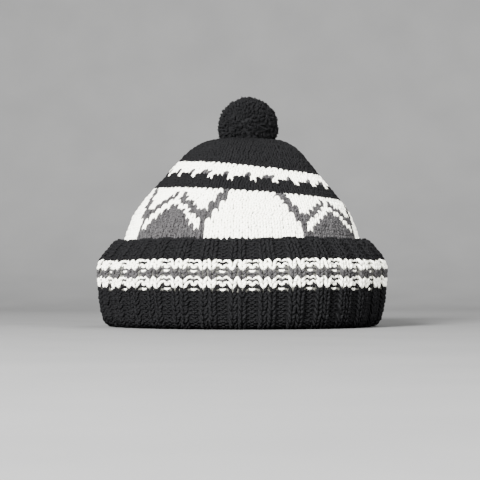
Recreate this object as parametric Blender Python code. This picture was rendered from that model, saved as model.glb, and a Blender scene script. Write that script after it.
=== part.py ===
"""Hand-knitted bobble hat with a turned-up ribbed cuff, standing on its rim.

Run it with: blender --background --python part.py
Metres, +Z up. The origin is on the surface that the rim rests on, under the
middle of the hat. The wearer looks along -Y, and +X is at the left hand.

The hat is one continuous piece of knitting. Its middle line, in a half section,
runs from the gathered hole in the crown down the dome, down the inner layer of
rib, round the fold and up the turned-up layer to the cast-on edge. The walls
are that line made as thick as the fabric, and turned round the hat.
"""

import math
import random

import bmesh
import bpy

MM = 0.001

# The rib: the layer against the head, and the layer turned up over it.
OPENING_RADIUS = 84.0 * MM
DEPTH_RATIO = 1.04
RIB_WALL = 6.5 * MM
RIB_COUNT = 32
RIB_TURN = -1.7
RIB_RELIEF = 1.6 * MM
CUFF_HEIGHT = 62.0 * MM
CUFF_PUFF = 8.2 * MM
MOUTH_GAP = 0.5 * MM
FOLD_BEND = 4.5 * MM
EDGE_WAVE = 1.2 * MM
EDGE_SCALLOP = 1.0 * MM
EDGE_BLUNTNESS = 0.4

# The crown.
CROWN_WALL = 4.5 * MM
CROWN_HEIGHT = 137.5 * MM
CROWN_LEAN = 1.5 * MM
SEAT_RADIUS = 21.0 * MM
SEAT_FADE = 8.0 * MM
DENT_FADE = 16.0 * MM

# The pompom, and the tie of yarn that holds it through the crown.
POMPOM_RADIUS = 21.5 * MM
POMPOM_RISE = 9.5 * MM
POMPOM_SHIFT = 3.0 * MM
LOCK_HEIGHT = 1.6 * MM
LOCK_GROOVE = 0.55 * MM
LOCK_SPREAD = 0.5 * MM
LOCK_SEED = 7
SEAT_GAP = 0.3 * MM
TIE_RADIUS = 3.5 * MM
TIE_CLEARANCE = 0.4 * MM
KNOT_RADIUS = 6.0 * MM
KNOT_HEIGHT = 6.0 * MM
KNOT_SHOULDER = 0.6
TIE_SIDES = 16
WELD = 0.01 * MM

# The label, sewn inside at the back.
LABEL_WIDTH = 31.0 * MM
LABEL_HEIGHT = 14.5 * MM
LABEL_THICKNESS = 1.0 * MM
LABEL_MIDDLE_HEIGHT = 44.5 * MM
LABEL_SHIFT = 7.5 * MM
LABEL_GAP = 0.4 * MM
LABEL_DROOP = 1.5 * MM
LABEL_CURL = 2.5 * MM

# Angles that one rib takes up: two points on its knit columns and two in the purl
# channel beside them, as shares of the rib's width, and the side of the wall's mean
# face that each lies on. The middle of the knit columns is at share RIB_MIDDLE.
RIB_POINTS = [
    {"share": 0.04, "side": 1.0},
    {"share": 0.52, "side": 1.0},
    {"share": 0.62, "side": -1.0},
    {"share": 0.94, "side": -1.0},
]
RIB_MIDDLE = 0.28

# The dome's middle line, from the fold up to the seat of the pompom: radius as a share of
# the rib's middle radius, height as a share of the height of the crown's middle line.
DOME_SECTIONS = [
    {"radius": 1.003, "height": 0.190},
    {"radius": 0.996, "height": 0.330},
    {"radius": 0.972, "height": 0.455},
    {"radius": 0.940, "height": 0.525},
    {"radius": 0.876, "height": 0.618},
    {"radius": 0.785, "height": 0.700},
    {"radius": 0.676, "height": 0.785},
    {"radius": 0.557, "height": 0.877},
    {"radius": 0.448, "height": 0.949},
    {"radius": 0.347, "height": 0.988},
]

# The turned-up layer: how far it stands off the inner layer, as a share of CUFF_PUFF,
# at heights that are shares of CUFF_HEIGHT.
CUFF_SECTIONS = [
    {"height": 0.28, "puff": 0.76},
    {"height": 0.50, "puff": 0.90},
    {"height": 0.68, "puff": 1.00},
    {"height": 0.79, "puff": 0.80},
    {"height": 0.87, "puff": 0.40},
    {"height": 0.95, "puff": 0.06},
]
FOLD_PUFF = 0.62

# Shallow hollows of the crown between the places where it is held up: direction from
# above, height as a share of CROWN_HEIGHT, and size and depth as shares of OPENING_RADIUS.
CROWN_DENTS = [
    {"azimuth": -62.0, "height": 0.86, "reach": 0.30, "depth": 0.030},
    {"azimuth": -128.0, "height": 0.74, "reach": 0.34, "depth": 0.022},
    {"azimuth": 8.0, "height": 0.78, "reach": 0.26, "depth": 0.034},
    {"azimuth": 75.0, "height": 0.80, "reach": 0.36, "depth": 0.030},
    {"azimuth": 158.0, "height": 0.84, "reach": 0.32, "depth": 0.026},
    {"azimuth": -28.0, "height": 0.94, "reach": 0.18, "depth": -0.022},
]

# Slow swells of the cuff round the hat, as shares: of how far it stands off, and of EDGE_WAVE.
CUFF_SWELLS = [
    {"waves": 2, "phase": 40.0, "puff": 0.07, "edge": 0.5},
    {"waves": 6, "phase": 15.0, "puff": 0.05, "edge": 0.5},
]

# Points round a ring: four to a rib where its relief shows, two on the plain crown, and one
# where the fabric is hidden or the ring is small.
FINE = 4 * RIB_COUNT
PLAIN = 2 * RIB_COUNT
COARSE = RIB_COUNT
PLAIN_FROM_RADIUS = 0.5 * OPENING_RADIUS
LABEL_COLUMNS = 8
LABEL_ROWS = 4

# Where the rib's thickness gives way to the crown's, as heights in shares of CUFF_HEIGHT.
RIB_ENDS = 0.8
CROWN_STARTS = 1.1

RIB_MIDDLE_RADIUS = OPENING_RADIUS + RIB_WALL / 2
CROWN_MIDDLE_HEIGHT = CROWN_HEIGHT - CROWN_WALL / 2
HOLE_RADIUS = TIE_RADIUS + TIE_CLEARANCE


def smoothstep(share):
    """0 below 0, 1 above 1, and a smooth rise in between."""
    share = min(1.0, max(0.0, share))
    return share * share * (3 - 2 * share)


def dome_radius(height):
    """The radius of the dome's middle line at a height, straight between its sections."""
    points = [(s["height"] * CROWN_MIDDLE_HEIGHT, s["radius"] * RIB_MIDDLE_RADIUS) for s in DOME_SECTIONS]
    points.insert(0, (0.0, RIB_MIDDLE_RADIUS))
    for (low, r_low), (high, r_high) in zip(points, points[1:]):
        if height <= high:
            return r_low + (r_high - r_low) * (height - low) / (high - low)
    return points[-1][1]


def dome_wall(height):
    """The fabric's thickness: rib up to the cuff's edge, and plain knitting above it."""
    rise = (height / CUFF_HEIGHT - RIB_ENDS) / (CROWN_STARTS - RIB_ENDS)
    return RIB_WALL + (CROWN_WALL - RIB_WALL) * smoothstep(rise)


def station(radius, height, wall, count_a, count_b, relief=0.0, normal=None, cuff=0.0, dome=0.0, scallop=0.0):
    """One point of the fabric's middle line. Side a is the crown's outside and the hollow
    of the fold. Side b is the inside, the underside of the fold and the cuff's outside."""
    return {
        "radius": radius,
        "height": height,
        "wall": wall,
        "count_a": count_a,
        "count_b": count_b,
        "relief": relief,
        "normal": normal,
        "cuff": cuff,
        "dome": dome,
        "scallop": scallop,
    }


def dome_stations():
    """From the hole at the top down to the fold."""
    up = (0.0, 1.0)
    line = [
        station(HOLE_RADIUS, CROWN_MIDDLE_HEIGHT, CROWN_WALL, COARSE, COARSE, normal=up, dome=1.0),
        station(SEAT_RADIUS, CROWN_MIDDLE_HEIGHT, CROWN_WALL, COARSE, COARSE, normal=up, dome=1.0),
    ]
    for section in reversed(DOME_SECTIONS):
        radius = section["radius"] * RIB_MIDDLE_RADIUS
        height = section["height"] * CROWN_MIDDLE_HEIGHT
        share = height / CUFF_HEIGHT
        outside = PLAIN if radius > PLAIN_FROM_RADIUS and share > RIB_ENDS else COARSE
        inside = FINE if share < 1 else COARSE
        relief = float(share < 1)
        line.append(station(radius, height, dome_wall(height), outside, inside, relief=relief, dome=1.0))
    return line


def fold_stations():
    """Round the bottom: a bend, the flat that the hat rests on, and a bend up."""
    outer_radius = RIB_MIDDLE_RADIUS + RIB_WALL + FOLD_PUFF * CUFF_PUFF
    bend_height = RIB_WALL / 2 + FOLD_BEND
    inner_centre = RIB_MIDDLE_RADIUS + FOLD_BEND
    outer_centre = outer_radius - FOLD_BEND
    line = []
    for centre, angles in ((inner_centre, (180, 225, 270)), (outer_centre, (270, 315, 360))):
        for angle in angles:
            turn = math.radians(angle)
            inward = (-math.cos(turn), -math.sin(turn))
            line.append(
                station(
                    centre + FOLD_BEND * math.cos(turn),
                    bend_height + FOLD_BEND * math.sin(turn),
                    RIB_WALL,
                    COARSE,
                    FINE,
                    relief=abs(math.cos(turn)),
                    normal=inward,
                )
            )
    return line


def cuff_stations():
    """Up the turned-up layer, from the fold to the cast-on edge."""
    line = []
    for section in CUFF_SECTIONS:
        height = section["height"] * CUFF_HEIGHT
        gap = MOUTH_GAP + section["puff"] * CUFF_PUFF
        radius = dome_radius(height) + dome_wall(height) / 2 + gap + RIB_WALL / 2
        hidden = PLAIN if section["height"] > RIB_ENDS else COARSE
        line.append(station(radius, height, RIB_WALL, hidden, FINE, relief=1.0, cuff=section["height"]))
    return line


def with_normals(line):
    """Fills in each normal that isn't stated, square to the line and towards side a."""
    for before, here, after in zip(line, line[1:], line[2:] + [None]):
        if here["normal"] is None:
            after = after or here
            run = after["radius"] - before["radius"]
            rise = after["height"] - before["height"]
            length = math.hypot(run, rise)
            here["normal"] = (-rise / length, run / length)
    return line


def swell(theta, column):
    """The cuff's slow swell at an angle, for one column of CUFF_SWELLS."""
    return sum(s[column] * math.cos(s["waves"] * theta + math.radians(s["phase"])) for s in CUFF_SWELLS)


def dent(theta, height):
    """How far the crown is pressed in at an angle and a height."""
    total = 0.0
    for row in CROWN_DENTS:
        reach = row["reach"] * OPENING_RADIUS
        turn = theta - math.radians(row["azimuth"])
        along = 2 * math.sin(turn / 2) * dome_radius(height)
        across = height - row["height"] * CROWN_HEIGHT
        total += row["depth"] * OPENING_RADIUS * math.exp(-(along**2 + across**2) / reach**2)
    return total * smoothstep((height - CUFF_HEIGHT) / DENT_FADE)


def seat_fade(radius):
    """0 on the pompom's flat seat, rising to 1 beyond it, so that the seat stays flat."""
    return smoothstep((radius - SEAT_RADIUS) / SEAT_FADE)


def lean(height):
    """The crown's lean towards +X, above the cuff."""
    return CROWN_LEAN * smoothstep((height - CUFF_HEIGHT) / (CROWN_HEIGHT - CUFF_HEIGHT))


def ring_angles(count):
    """(angle, side of the rib's mean face) for each point of a ring."""
    if count == FINE:
        phases = [(p["share"] - RIB_MIDDLE, p["side"]) for p in RIB_POINTS]
    elif count == PLAIN:
        phases = [(0.0, 0.0), (0.5, 0.0)]
    else:
        phases = [(0.0, 0.0)]
    turn = math.radians(RIB_TURN)
    ribs = range(RIB_COUNT)
    return [(turn + 2 * math.pi * (rib + share) / RIB_COUNT, side) for rib in ribs for share, side in phases]


def ring(bm, here, toward, count):
    """One ring of vertices on side a (toward = 1) or side b (toward = -1) of a station."""
    verts = []
    for theta, side in ring_angles(count):
        radius, height = here["radius"], here["height"]
        if here["dome"]:
            radius -= dent(theta, height) * seat_fade(radius)
        if here["cuff"]:
            lift = EDGE_WAVE * swell(theta, "edge") * here["cuff"]
            radius += dome_radius(height + lift) - dome_radius(height)
            height += lift
            stand_off = radius - RIB_WALL / 2 - dome_radius(height) - dome_wall(height) / 2 - MOUTH_GAP
            radius += stand_off * swell(theta, "puff")
        half = here["wall"] / 2
        if toward < 0:
            half += here["relief"] * side * RIB_RELIEF / 2
        radius += toward * half * here["normal"][0]
        height += toward * half * here["normal"][1] + side * here["scallop"]
        x = radius * math.cos(theta) + lean(here["height"]) * here["dome"]
        verts.append(bm.verts.new((x, DEPTH_RATIO * radius * math.sin(theta), height)))
    return verts


def bridge(bm, first, second):
    """Faces between two rings of as many vertices, or of twice as many."""
    if len(first) < len(second):
        first, second = second, first
    step = len(first) // len(second)
    for i, vert in enumerate(second):
        following = second[(i + 1) % len(second)]
        a = first[i * step]
        b = first[(i * step + 1) % len(first)]
        if step == 1:
            bm.faces.new((a, b, following, vert))
        else:
            c = first[(i * step + 2) % len(first)]
            bm.faces.new((a, b, vert))
            bm.faces.new((b, c, following, vert))


def bridge_all(bm, rings):
    """Faces between each ring and the next, with half-size steps where counts differ by four."""
    for first, second in zip(rings, rings[1:]):
        bridge(bm, first, second)


def material(name, colour, roughness):
    made = bpy.data.materials.new(name)
    made.use_nodes = True
    shader = made.node_tree.nodes["Principled BSDF"]
    shader.inputs["Base Color"].default_value = (*colour, 1.0)
    shader.inputs["Roughness"].default_value = roughness
    shader.inputs["Metallic"].default_value = 0.0
    return made


def finish_object(name, bm, paint):
    """An object from a bmesh, with its faces pointing out and shaded smooth."""
    bmesh.ops.recalc_face_normals(bm, faces=bm.faces)
    mesh = bpy.data.meshes.new(name)
    bm.to_mesh(mesh)
    bm.free()
    mesh.materials.append(paint)
    mesh.shade_smooth()
    mesh.set_sharp_from_angle(angle=math.radians(50))
    made = bpy.data.objects.new(name, mesh)
    bpy.context.scene.collection.objects.link(made)
    return made


def evened(line, key):
    """Side counts that change by no more than a factor of two from a station to the next."""
    counts = [s[key] for s in line]
    for i in range(1, len(counts)):
        counts[i] = max(counts[i], counts[i - 1] // 2)
    for i in range(len(counts) - 2, -1, -1):
        counts[i] = max(counts[i], counts[i + 1] // 2)
    return counts


def make_knit_body(wool):
    """The crown and the turned-up cuff, one wall folded at the rim."""
    line = with_normals(dome_stations() + fold_stations() + cuff_stations())
    bm = bmesh.new()
    side_a = [ring(bm, here, 1, n) for here, n in zip(line, evened(line, "count_a"))]
    side_b = [ring(bm, here, -1, n) for here, n in zip(line, evened(line, "count_b"))]
    end = dict(line[-1])
    end["radius"] += end["normal"][1] * RIB_WALL / 2
    end["height"] -= end["normal"][0] * RIB_WALL / 2
    end["wall"] = EDGE_BLUNTNESS * RIB_WALL
    end["relief"] = EDGE_BLUNTNESS
    end["scallop"] = EDGE_SCALLOP
    tip_a = ring(bm, end, 1, PLAIN)
    tip_b = ring(bm, end, -1, FINE)
    bridge_all(bm, side_a + [tip_a, tip_b] + side_b[::-1] + [side_a[0]])
    return finish_object("knit_body", bm, wool)


def make_pompom(wool):
    """A ball of cut yarn in raised locks, flat where it sits on the crown."""
    bm = bmesh.new()
    bmesh.ops.create_icosphere(bm, subdivisions=3, radius=POMPOM_RADIUS - LOCK_HEIGHT)
    locks = bm.faces[:]
    bmesh.ops.inset_individual(
        bm, faces=locks, thickness=LOCK_GROOVE, depth=LOCK_HEIGHT, use_even_offset=True
    )
    cut_length = random.Random(LOCK_SEED)
    for lock in locks:
        growth = lock.normal * cut_length.uniform(-LOCK_SPREAD, LOCK_SPREAD)
        bmesh.ops.translate(bm, verts=lock.verts, vec=growth)
    middle = (CROWN_LEAN + POMPOM_SHIFT, 0.0, CROWN_HEIGHT + POMPOM_RISE)
    bmesh.ops.translate(bm, verts=bm.verts, vec=middle)
    seat = CROWN_HEIGHT + SEAT_GAP
    everything = bm.verts[:] + bm.edges[:] + bm.faces[:]
    cut = bmesh.ops.bisect_plane(
        bm, geom=everything, plane_co=(0, 0, seat), plane_no=(0, 0, -1), clear_outer=True
    )
    rim = [item for item in cut["geom_cut"] if isinstance(item, bmesh.types.BMEdge)]
    bmesh.ops.contextual_create(bm, geom=rim)
    return finish_object("pompom", bm, wool)


def make_pompom_tie(wool):
    """The tie: a post of yarn under the pompom, through the crown's hole, knotted inside."""
    inside = CROWN_HEIGHT - CROWN_WALL - SEAT_GAP
    profile = [
        (0.0, CROWN_HEIGHT),
        (TIE_RADIUS, CROWN_HEIGHT),
        (TIE_RADIUS, inside),
        (KNOT_RADIUS, inside),
        (KNOT_RADIUS, inside - KNOT_SHOULDER * KNOT_HEIGHT),
        (KNOT_SHOULDER * KNOT_RADIUS, inside - KNOT_HEIGHT),
        (0.0, inside - KNOT_HEIGHT),
    ]
    bm = bmesh.new()
    verts = [bm.verts.new((CROWN_LEAN + radius, 0.0, height)) for radius, height in profile]
    edges = [bm.edges.new(pair) for pair in zip(verts, verts[1:])]
    bmesh.ops.spin(
        bm,
        geom=verts + edges,
        cent=(CROWN_LEAN, 0.0, 0.0),
        axis=(0.0, 0.0, 1.0),
        angle=2 * math.pi,
        steps=TIE_SIDES,
        use_merge=True,
    )
    bmesh.ops.remove_doubles(bm, verts=bm.verts, dist=WELD)
    return finish_object("pompom_tie", bm, wool)


def label_point(across, up, depth):
    """A point of the label: shares of its half width and half height, and a depth into the hat."""
    height = LABEL_MIDDLE_HEIGHT + up * LABEL_HEIGHT / 2 - LABEL_DROOP * smoothstep(across)
    wall = dome_radius(height) - dome_wall(height) / 2 - RIB_RELIEF / 2
    curl = LABEL_CURL * smoothstep(across) * smoothstep(-up)
    radius = wall - LABEL_GAP - curl - depth
    x = LABEL_SHIFT + across * LABEL_WIDTH / 2
    return (x, DEPTH_RATIO * math.sqrt(radius**2 - x**2), height)


def make_label(tape):
    """A woven label that follows the wall, with its lower free corner curled off it."""
    across = [2 * column / LABEL_COLUMNS - 1 for column in range(LABEL_COLUMNS + 1)]
    up = [2 * row / LABEL_ROWS - 1 for row in range(LABEL_ROWS + 1)]
    bm = bmesh.new()
    layers = [
        [[bm.verts.new(label_point(a, u, depth)) for a in across] for u in up]
        for depth in (0.0, LABEL_THICKNESS)
    ]
    for layer in layers:
        for low, high in zip(layer, layer[1:]):
            for a, b, c, d in zip(low, low[1:], high[1:], high):
                bm.faces.new((a, b, c, d))
    back, front = (
        layer[0] + [row[-1] for row in layer[1:]] + layer[-1][-2::-1] + [row[0] for row in layer[-2:0:-1]]
        for layer in layers
    )
    bridge(bm, back, front)
    return finish_object("label", bm, tape)


def main():
    for old in list(bpy.data.objects):
        bpy.data.objects.remove(old)
    black_wool = material("black_wool", (0.012, 0.012, 0.014), 0.95)
    black_pile = material("black_pile", (0.008, 0.008, 0.009), 0.98)
    woven_tape = material("woven_tape", (0.62, 0.60, 0.52), 0.8)
    make_knit_body(black_wool)
    make_pompom(black_pile)
    make_pompom_tie(black_wool)
    make_label(woven_tape)


main()
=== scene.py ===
"""Looks of the bobble hat: every stitch of its knitting, its pompom, its label and its tie."""

import math

import bpy
import numpy as np
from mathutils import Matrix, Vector


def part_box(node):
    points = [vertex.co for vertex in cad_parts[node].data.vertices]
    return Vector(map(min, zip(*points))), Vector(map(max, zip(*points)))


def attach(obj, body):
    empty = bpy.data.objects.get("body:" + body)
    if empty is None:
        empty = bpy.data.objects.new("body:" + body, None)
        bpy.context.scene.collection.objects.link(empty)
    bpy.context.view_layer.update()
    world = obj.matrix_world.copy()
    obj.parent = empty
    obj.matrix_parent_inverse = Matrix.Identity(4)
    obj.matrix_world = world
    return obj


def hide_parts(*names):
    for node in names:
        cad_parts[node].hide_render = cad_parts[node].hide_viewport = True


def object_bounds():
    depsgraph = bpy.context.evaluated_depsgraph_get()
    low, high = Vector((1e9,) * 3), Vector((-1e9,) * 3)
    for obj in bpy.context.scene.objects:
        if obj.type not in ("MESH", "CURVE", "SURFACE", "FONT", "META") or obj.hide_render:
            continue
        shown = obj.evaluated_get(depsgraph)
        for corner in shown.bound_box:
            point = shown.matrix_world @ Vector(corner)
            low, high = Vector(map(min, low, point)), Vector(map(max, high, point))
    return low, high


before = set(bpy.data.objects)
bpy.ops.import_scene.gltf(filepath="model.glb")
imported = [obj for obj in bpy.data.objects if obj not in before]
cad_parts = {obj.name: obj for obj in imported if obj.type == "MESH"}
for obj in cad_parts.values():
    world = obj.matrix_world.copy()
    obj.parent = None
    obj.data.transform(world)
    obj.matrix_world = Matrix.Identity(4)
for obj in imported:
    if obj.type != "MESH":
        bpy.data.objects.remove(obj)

CAD_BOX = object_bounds()
MM = 0.001
TAU = 2 * math.pi

# The fabric, with the values that the solids have.
OPENING_RADIUS = 84.0 * MM
DEPTH_RATIO = 1.04
RIB_WALL = 6.5 * MM
RIB_COUNT = 32
RIB_TURN = math.radians(-1.7)
RIB_RELIEF = 1.6 * MM
CUFF_HEIGHT = 62.0 * MM
CUFF_PUFF = 8.2 * MM
MOUTH_GAP = 0.5 * MM
FOLD_BEND = 4.5 * MM
FOLD_PUFF = 0.62
EDGE_WAVE = 1.2 * MM
EDGE_BLUNTNESS = 0.4
CROWN_WALL = 4.5 * MM
CROWN_LEAN = 1.5 * MM
SEAT_RADIUS = 21.0 * MM
SEAT_FADE = 8.0 * MM
DENT_FADE = 16.0 * MM
RIB_ENDS = 0.8
CROWN_STARTS = 1.1
RIB_FADE = {"top": 1.04, "share": 0.08}
RIB_FLANK = {"starts": 0.22, "width": 0.13}
CROWN_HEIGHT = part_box("knit_body")[1].z
RIB_MIDDLE_RADIUS = OPENING_RADIUS + RIB_WALL / 2
CROWN_MIDDLE_HEIGHT = CROWN_HEIGHT - CROWN_WALL / 2

# At the cuff's edge the yarn lies softer than the solid: how far the rib's columns lift
# the edge, and the share of the ribs' relief that is left there.
YARN_SCALLOP = 0.25 * MM
EDGE_RELIEF = 0.5

# How far the crown's rows lie askew, lower at the right.
ROW_SLIP = 7.0 * MM

# The dome's middle line, in shares of RIB_MIDDLE_RADIUS and of CROWN_MIDDLE_HEIGHT.
DOME_SECTIONS = [
    {"radius": 1.003, "height": 0.190},
    {"radius": 0.996, "height": 0.330},
    {"radius": 0.972, "height": 0.455},
    {"radius": 0.940, "height": 0.525},
    {"radius": 0.876, "height": 0.618},
    {"radius": 0.785, "height": 0.700},
    {"radius": 0.676, "height": 0.785},
    {"radius": 0.557, "height": 0.877},
    {"radius": 0.448, "height": 0.949},
    {"radius": 0.347, "height": 0.988},
    {"radius": 0.241, "height": 1.000},
    {"radius": 0.045, "height": 1.000},
]

# The turned-up layer: how far it stands off the inner layer, by share of CUFF_HEIGHT.
CUFF_SECTIONS = [
    {"height": 0.28, "puff": 0.76},
    {"height": 0.50, "puff": 0.90},
    {"height": 0.68, "puff": 1.00},
    {"height": 0.79, "puff": 0.80},
    {"height": 0.87, "puff": 0.40},
    {"height": 0.95, "puff": 0.06},
]

# Dents of the crown and slow swells of the cuff, as the solids have them.
CROWN_DENTS = [
    {"azimuth": -62.0, "height": 0.86, "reach": 0.30, "depth": 0.030},
    {"azimuth": -128.0, "height": 0.74, "reach": 0.34, "depth": 0.022},
    {"azimuth": 8.0, "height": 0.78, "reach": 0.26, "depth": 0.034},
    {"azimuth": 75.0, "height": 0.80, "reach": 0.36, "depth": 0.030},
    {"azimuth": 158.0, "height": 0.84, "reach": 0.32, "depth": 0.026},
    {"azimuth": -28.0, "height": 0.94, "reach": 0.18, "depth": -0.022},
]
CUFF_SWELLS = [
    {"waves": 2, "phase": 40.0, "puff": 0.07, "edge": 0.5},
    {"waves": 6, "phase": 15.0, "puff": 0.05, "edge": 0.5},
]

# The two faces of the fabric. OUT is the crown's outside and the hollow of the fold. IN is
# the hat's inside, the underside of the fold and the outside of the turned-up layer.
OUT = 1
IN = -1

SEED = 11
rng = np.random.default_rng(SEED)


def smoothstep(share):
    share = np.clip(share, 0.0, 1.0)
    return share * share * (3 - 2 * share)


def unit(vectors):
    return vectors / np.maximum(np.linalg.norm(vectors, axis=-1, keepdims=True), 1e-12)


def stacked(x, y, z):
    """Points from their coordinates, each an array or one number."""
    return np.stack(np.broadcast_arrays(x, y, z), -1)


def smooth_line(points, count):
    """Evenly spaced points on a smooth curve through the given ones."""
    points = np.asarray(points, float)
    steps = np.linalg.norm(np.diff(points, axis=0), axis=1)
    place = np.concatenate([[0.0], np.cumsum(steps)])
    slopes = np.gradient(points, place, axis=0)
    wanted = np.linspace(0.0, place[-1], count)
    index = np.clip(np.searchsorted(place, wanted, side="right") - 1, 0, len(points) - 2)
    span = (place[index + 1] - place[index])[:, None]
    t = (wanted - place[index])[:, None] / span
    start, end = points[index], points[index + 1]
    leave, arrive = slopes[index] * span, slopes[index + 1] * span
    return (
        (2 * t**3 - 3 * t**2 + 1) * start
        + (t**3 - 2 * t**2 + t) * leave
        + (3 * t**2 - 2 * t**3) * end
        + (t**3 - t**2) * arrive
    )


def wall_at(height):
    """The fabric's thickness on the dome: rib up to the cuff's edge, plain knitting above."""
    rise = (height / CUFF_HEIGHT - RIB_ENDS) / (CROWN_STARTS - RIB_ENDS)
    return RIB_WALL + (CROWN_WALL - RIB_WALL) * smoothstep(rise)


def swell(theta, column):
    return sum(s[column] * np.cos(s["waves"] * theta + math.radians(s["phase"])) for s in CUFF_SWELLS)


def seat_fade(radius):
    return smoothstep((radius - SEAT_RADIUS) / SEAT_FADE)


def lean(height):
    return CROWN_LEAN * smoothstep((height - CUFF_HEIGHT) / (CROWN_HEIGHT - CUFF_HEIGHT))


def rib_height(phase):
    """+1 on the knit columns and -1 in the purl channel, by share of a rib from its knit middle."""
    away = np.abs(phase - np.round(phase))
    return 1 - 2 * smoothstep((away - RIB_FLANK["starts"]) / RIB_FLANK["width"])


class Fabric:
    """The middle line of the knitting in a half section, from the hole at the top, down the
    dome, round the fold and up the turned-up layer, and the two faces on either side of it."""

    DENSE = 1600

    def __init__(self):
        dome = [(s["radius"] * RIB_MIDDLE_RADIUS, s["height"] * CROWN_MIDDLE_HEIGHT) for s in DOME_SECTIONS]
        rise = smooth_line([(RIB_MIDDLE_RADIUS, 0.0)] + dome, self.DENSE // 4)
        self.dome_rise, self.dome_run = rise[:, 1], rise[:, 0]
        line = smooth_line(dome[::-1] + self.fold_points() + self.cuff_points(), self.DENSE)
        self.order = np.arange(self.DENSE, dtype=float)
        self.radius, self.height = line[:, 0], line[:, 1]
        run = unit(np.gradient(line, axis=0))
        self.normal_r, self.normal_z = -run[:, 1], run[:, 0]
        self.lowest = int(np.argmin(self.height))
        self.on_dome = (self.order < self.lowest).astype(float)
        steps = np.linalg.norm(np.diff(line, axis=0), axis=1)
        from_edge = np.append(np.cumsum(steps[::-1])[::-1], 0.0)
        self.edge = smoothstep(1 - from_edge / (2 * RIB_WALL))
        blunt = 1 - (1 - EDGE_BLUNTNESS) * smoothstep(1 - from_edge / (RIB_WALL / 2))
        self.wall = np.where(self.on_dome > 0, wall_at(self.height), RIB_WALL * blunt)
        fade = smoothstep((RIB_FADE["top"] - self.height / CUFF_HEIGHT) / RIB_FADE["share"])
        in_rib = np.where(self.on_dome > 0, fade, 1.0)
        self.relief = in_rib * np.abs(self.normal_r) * (1 - (1 - EDGE_RELIEF) * self.edge)
        self.along = {}
        for side in (OUT, IN):
            half = side * self.wall / 2
            face = np.stack([self.radius + half * self.normal_r, self.height + half * self.normal_z], 1)
            travelled = np.cumsum(np.linalg.norm(np.diff(face, axis=0), axis=1))
            self.along[side] = np.concatenate([[0.0], travelled])

    def dome_radius(self, height):
        return np.interp(height, self.dome_rise, self.dome_run)

    def fold_points(self):
        outer = RIB_MIDDLE_RADIUS + RIB_WALL + FOLD_PUFF * CUFF_PUFF
        middle_height = RIB_WALL / 2 + FOLD_BEND
        points = []
        for centre, start in ((RIB_MIDDLE_RADIUS + FOLD_BEND, 180), (outer - FOLD_BEND, 270)):
            for turn in np.radians(np.linspace(start, start + 90, 5)):
                radius = centre + FOLD_BEND * np.cos(turn)
                points.append((radius, middle_height + FOLD_BEND * np.sin(turn)))
        return points

    def cuff_points(self):
        points = []
        for section in CUFF_SECTIONS:
            height = section["height"] * CUFF_HEIGHT
            stand_off = MOUTH_GAP + section["puff"] * CUFF_PUFF
            radius = self.dome_radius(height) + wall_at(height) / 2 + stand_off + RIB_WALL / 2
            points.append((radius, height))
        last, before = Vector(points[-1]), Vector(points[-2])
        points.append(tuple(last + (last - before).normalized() * RIB_WALL / 2))
        return points

    def distance(self, side, height, on_dome):
        """How far along a face a height lies, on the dome or on the turned-up layer."""
        if on_dome:
            return np.interp(-height, -self.height[: self.lowest], self.along[side][: self.lowest])
        return np.interp(height, self.height[self.lowest :], self.along[side][self.lowest :])

    def point(self, side, theta, distance, lift, relief=0.0):
        """A point in space: an angle, a distance along a face, and a lift off that face."""
        place = np.interp(distance, self.along[side], self.order)

        def read(values):
            return np.interp(place, self.order, values)

        radius, height, on_dome = read(self.radius), read(self.height), read(self.on_dome)
        radius = radius - on_dome * self.dent(theta, height) * seat_fade(radius)
        wave = (1 - on_dome) * EDGE_WAVE * swell(theta, "edge") * height / CUFF_HEIGHT
        radius = radius + self.dome_radius(height + wave) - self.dome_radius(height)
        height = height + wave
        stand_off = radius - RIB_WALL / 2 - self.dome_radius(height) - wall_at(height) / 2 - MOUTH_GAP
        rising = smoothstep(height / (3 * FOLD_BEND))
        radius = radius + (1 - on_dome) * rising * stand_off * swell(theta, "puff")
        half = read(self.wall) / 2 + lift + relief * read(self.relief) * RIB_RELIEF / 2
        radius = radius + side * half * read(self.normal_r)
        top = height + side * half * read(self.normal_z) + relief * read(self.edge) * YARN_SCALLOP
        x = radius * np.cos(theta) + on_dome * lean(height)
        return stacked(x, DEPTH_RATIO * radius * np.sin(theta), top)

    def dent(self, theta, height):
        total = 0.0
        for row in CROWN_DENTS:
            reach = row["reach"] * OPENING_RADIUS
            along = 2 * np.sin((theta - math.radians(row["azimuth"])) / 2) * self.dome_radius(height)
            across = height - row["height"] * CROWN_HEIGHT
            total = total + row["depth"] * OPENING_RADIUS * np.exp(-(along**2 + across**2) / reach**2)
        return total * smoothstep((height - CUFF_HEIGHT) / DENT_FADE)

    def slip(self, side, theta, distance):
        """How far the crown's rows have slid along a face, nothing at the hole and at the cuff."""
        share = np.clip(distance / self.distance(side, CUFF_HEIGHT, True), 0.0, 1.0)
        return ROW_SLIP * np.cos(theta) * np.sin(math.pi * share)

    def paths(self, side, theta, distance, lift, relief=0.0):
        """Paths of yarn on a face, and the face's normal at each of their points."""
        theta, distance, lift, relief = np.broadcast_arrays(theta, distance, lift, relief)
        distance = distance + self.slip(side, theta, distance)
        points = self.point(side, theta, distance, lift, relief)
        above = self.point(side, theta, distance, lift + 1.0 * MM, relief)
        return points, unit(above - points)


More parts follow.
